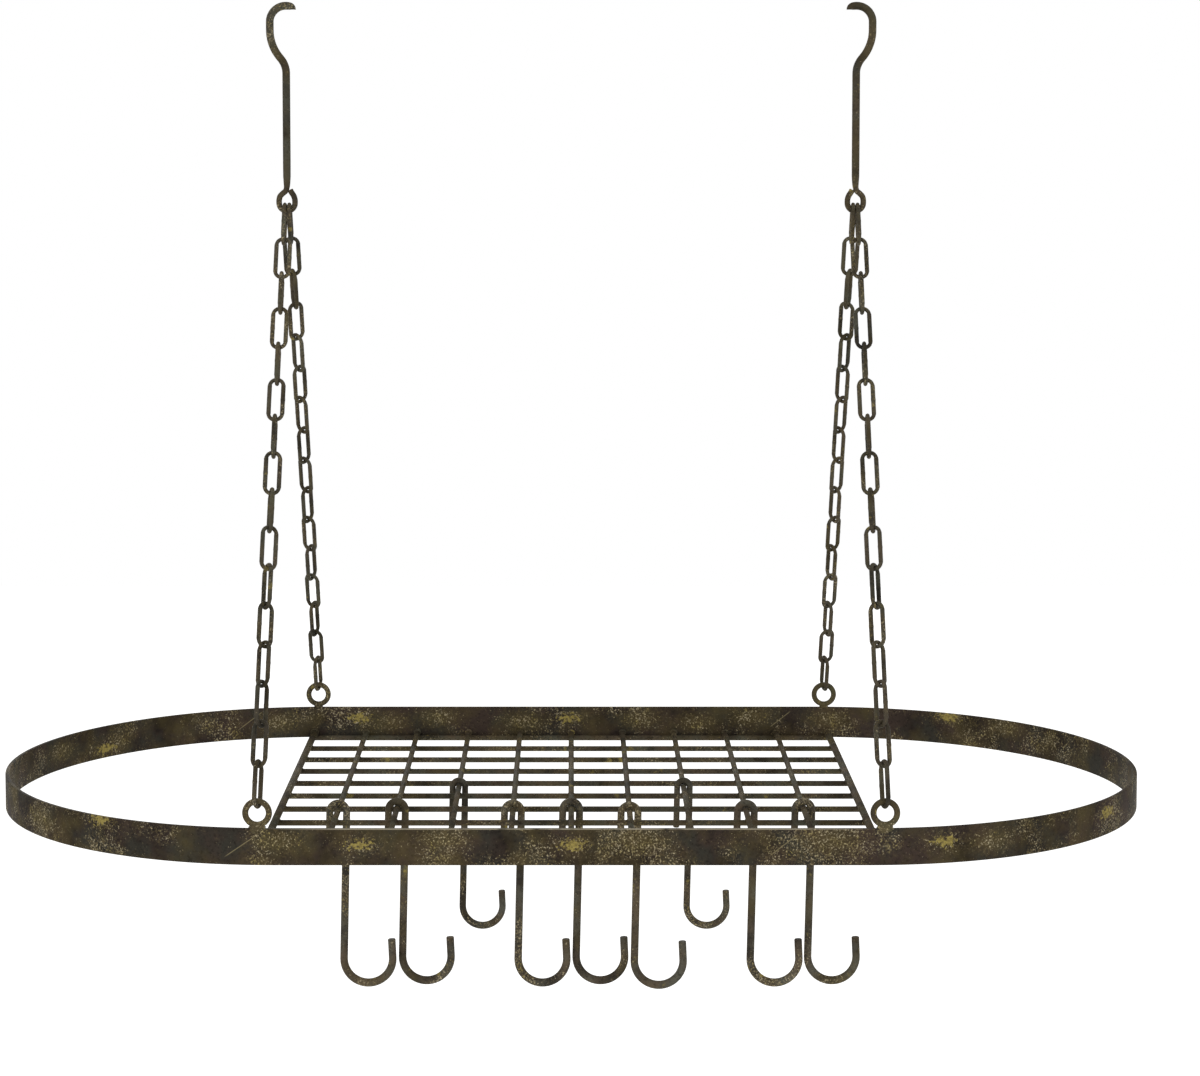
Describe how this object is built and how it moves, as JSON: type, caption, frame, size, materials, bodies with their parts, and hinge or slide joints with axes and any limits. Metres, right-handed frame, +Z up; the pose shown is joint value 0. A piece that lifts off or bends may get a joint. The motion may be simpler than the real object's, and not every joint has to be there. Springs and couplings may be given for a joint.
{
  "type": "hanging pot rack",
  "caption": "Hanging pot rack: an oval metal band with a wire grid shelf, hung on chains from two ceiling hooks, with loose J-shaped pot hooks on the bars of the grid.",
  "frame": {"origin": "midway between the points where the two ceiling hooks bear on what holds them", "axes": "+X along the oval's length to the right as seen from the front, +Y to the back, +Z up"},
  "size_m": [0.838, 0.4448, 0.716],
  "materials": {
    "band": "satin dark bronze powder coat with fine gold and brown speckle",
    "grid": "satin dark bronze powder coat with fine gold and brown speckle",
    "chains": "satin dark bronze powder coat with fine gold and brown speckle",
    "rings": "satin dark bronze powder coat with fine gold and brown speckle",
    "ceiling_hooks": "satin dark bronze powder coat with fine gold and brown speckle",
    "pot_hooks": "satin dark bronze powder coat with fine gold and brown speckle"
  },
  "bodies": {
    "ceiling_hooks": {"ceiling_hook_left": "ceiling_hooks", "ceiling_hook_right": "ceiling_hooks"},
    "top_links": {"front_left_link_01": "chains", "rear_left_link_01": "chains", "front_right_link_01": "chains", "rear_right_link_01": "chains"},
    "chain_front_left": {"front_left_link_02": "chains", "front_left_links_03_04": "chains", "front_left_links_05_06": "chains", "front_left_links_07_08": "chains", "front_left_links_09_10": "chains", "front_left_links_11_12": "chains", "front_left_links_13_14": "chains", "front_left_link_15": "chains"},
    "chain_rear_left": {"rear_left_link_02": "chains", "rear_left_links_03_04": "chains", "rear_left_links_05_06": "chains", "rear_left_links_07_08": "chains", "rear_left_links_09_10": "chains", "rear_left_links_11_12": "chains", "rear_left_links_13_14": "chains", "rear_left_link_15": "chains"},
    "chain_front_right": {"front_right_link_02": "chains", "front_right_links_03_04": "chains", "front_right_links_05_06": "chains", "front_right_links_07_08": "chains", "front_right_links_09_10": "chains", "front_right_links_11_12": "chains", "front_right_links_13_14": "chains", "front_right_link_15": "chains"},
    "chain_rear_right": {"rear_right_link_02": "chains", "rear_right_links_03_04": "chains", "rear_right_links_05_06": "chains", "rear_right_links_07_08": "chains", "rear_right_links_09_10": "chains", "rear_right_links_11_12": "chains", "rear_right_links_13_14": "chains", "rear_right_link_15": "chains"},
    "rack": {"band": "band", "grid": "grid", "ring_front_left": "rings", "ring_rear_left": "rings", "ring_front_right": "rings", "ring_rear_right": "rings", "front_left_link_16": "chains", "rear_left_link_16": "chains", "front_right_link_16": "chains", "rear_right_link_16": "chains"},
    "loose_hook_1": {"pot_hook_1": "pot_hooks"},
    "loose_hook_2": {"pot_hook_2": "pot_hooks"},
    "loose_hook_3": {"pot_hook_3": "pot_hooks"},
    "loose_hook_4": {"pot_hook_4": "pot_hooks"},
    "loose_hook_5": {"pot_hook_5": "pot_hooks"},
    "loose_hook_6": {"pot_hook_6": "pot_hooks"},
    "loose_hook_7": {"pot_hook_7": "pot_hooks"},
    "loose_hook_8": {"pot_hook_8": "pot_hooks"},
    "loose_hook_9": {"pot_hook_9": "pot_hooks"}
  },
  "joints": [
    {"name": "front_back_swing", "type": "hinge", "parent": "ceiling_hooks", "child": "top_links", "pos_m": [0, 0, -0.14795], "axis": [1, 0, 0], "range_deg": [-25, 25]},
    {"name": "sway_front_left", "type": "hinge", "parent": "top_links", "child": "chain_front_left", "pos_m": [-0.21115, -0.01207, -0.16981], "axis": [0, 1, 0], "range_deg": [-20, 20]},
    {"name": "sway_rear_left", "type": "hinge", "parent": "top_links", "child": "chain_rear_left", "pos_m": [-0.20785, 0.01208, -0.16981], "axis": [0, 1, 0], "range_deg": [-20, 20]},
    {"name": "sway_front_right", "type": "hinge", "parent": "top_links", "child": "chain_front_right", "pos_m": [0.21115, -0.01207, -0.16981], "axis": [0, 1, 0], "range_deg": [-20, 20]},
    {"name": "sway_rear_right", "type": "hinge", "parent": "top_links", "child": "chain_rear_right", "pos_m": [0.20785, 0.01208, -0.16981], "axis": [0, 1, 0], "range_deg": [-20, 20]},
    {"name": "rack_level", "type": "hinge", "parent": "chain_front_left", "child": "rack", "pos_m": [-0.21115, -0.20418, -0.51775], "axis": [0, 1, 0], "range_deg": [-20, 20]},
    {"name": "pot_hook_swing_1", "type": "hinge", "parent": "rack", "child": "loose_hook_1", "pos_m": [-0.1688, -0.068, -0.5803], "axis": [0, 1, 0], "range_deg": [-30, 30]},
    {"name": "pot_hook_swing_2", "type": "hinge", "parent": "rack", "child": "loose_hook_2", "pos_m": [-0.1266, -0.0621, -0.5803], "axis": [0, 1, 0], "range_deg": [-30, 30]},
    {"name": "pot_hook_swing_3", "type": "hinge", "parent": "rack", "child": "loose_hook_3", "pos_m": [-0.0844, 0.01, -0.5803], "axis": [0, 1, 0], "range_deg": [-30, 30]},
    {"name": "pot_hook_swing_4", "type": "hinge", "parent": "rack", "child": "loose_hook_4", "pos_m": [-0.0422, -0.068, -0.5803], "axis": [0, 1, 0], "range_deg": [-30, 30]},
    {"name": "pot_hook_swing_5", "type": "hinge", "parent": "rack", "child": "loose_hook_5", "pos_m": [0, -0.0621, -0.5803], "axis": [0, 1, 0], "range_deg": [-30, 30]},
    {"name": "pot_hook_swing_6", "type": "hinge", "parent": "rack", "child": "loose_hook_6", "pos_m": [0.0422, -0.0739, -0.5803], "axis": [0, 1, 0], "range_deg": [-30, 30]},
    {"name": "pot_hook_swing_7", "type": "hinge", "parent": "rack", "child": "loose_hook_7", "pos_m": [0.0844, 0.01, -0.5803], "axis": [0, 1, 0], "range_deg": [-30, 30]},
    {"name": "pot_hook_swing_8", "type": "hinge", "parent": "rack", "child": "loose_hook_8", "pos_m": [0.1266, -0.068, -0.5803], "axis": [0, 1, 0], "range_deg": [-30, 30]},
    {"name": "pot_hook_swing_9", "type": "hinge", "parent": "rack", "child": "loose_hook_9", "pos_m": [0.1688, -0.0621, -0.5803], "axis": [0, 1, 0], "range_deg": [-30, 30]}
  ],
  "couplings": [
    {"joint": "sway_rear_left", "follows": "sway_front_left", "ratio": 1},
    {"joint": "sway_front_right", "follows": "sway_front_left", "ratio": 1},
    {"joint": "sway_rear_right", "follows": "sway_front_left", "ratio": 1},
    {"joint": "rack_level", "follows": "sway_front_left", "ratio": -1}
  ]
}
